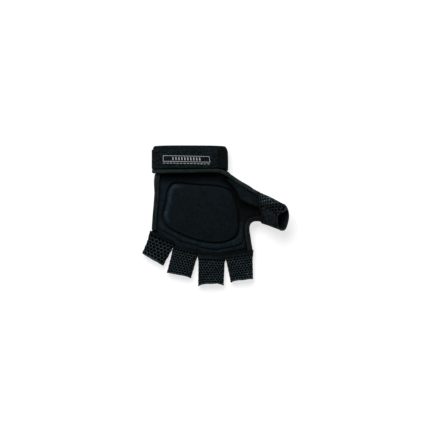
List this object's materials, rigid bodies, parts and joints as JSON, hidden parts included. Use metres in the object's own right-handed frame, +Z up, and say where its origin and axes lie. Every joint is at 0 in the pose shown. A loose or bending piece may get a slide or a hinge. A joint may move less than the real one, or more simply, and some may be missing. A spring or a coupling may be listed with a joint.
{
  "type": "field hockey glove",
  "caption": "Open-palm field hockey glove for the left hand, lying on its padded back, with mesh finger and thumb sleeves and a wrist cuff closed by a strap.",
  "frame": {"origin": "middle of the glove's bounding box, on the surface that it lies on", "axes": "+X towards the thumb, +Y towards the wrist, +Z up out of the open palm; the fingers point along -Y"},
  "size_m": [0.1764, 0.1686, 0.0375],
  "materials": {
    "lining": "matt black lining cloth over moulded foam",
    "mesh": "open black spacer mesh",
    "neoprene": "matt black neoprene with a knitted face",
    "binding": "black folded binding tape, slightly lighter where it rolls over"
  },
  "bodies": {
    "root": {"back_shell": "lining", "hand_pad": "lining", "thumb_panel": "lining", "little_finger_sleeve": "mesh", "ring_finger_sleeve": "mesh", "middle_finger_sleeve": "mesh", "index_finger_sleeve": "mesh", "thumb_sleeve": "mesh", "wrist_cuff": "neoprene", "wrist_strap": "neoprene", "side_binding": "binding", "crotch_binding": "binding", "cuff_binding": "binding"}
  },
  "joints": []
}
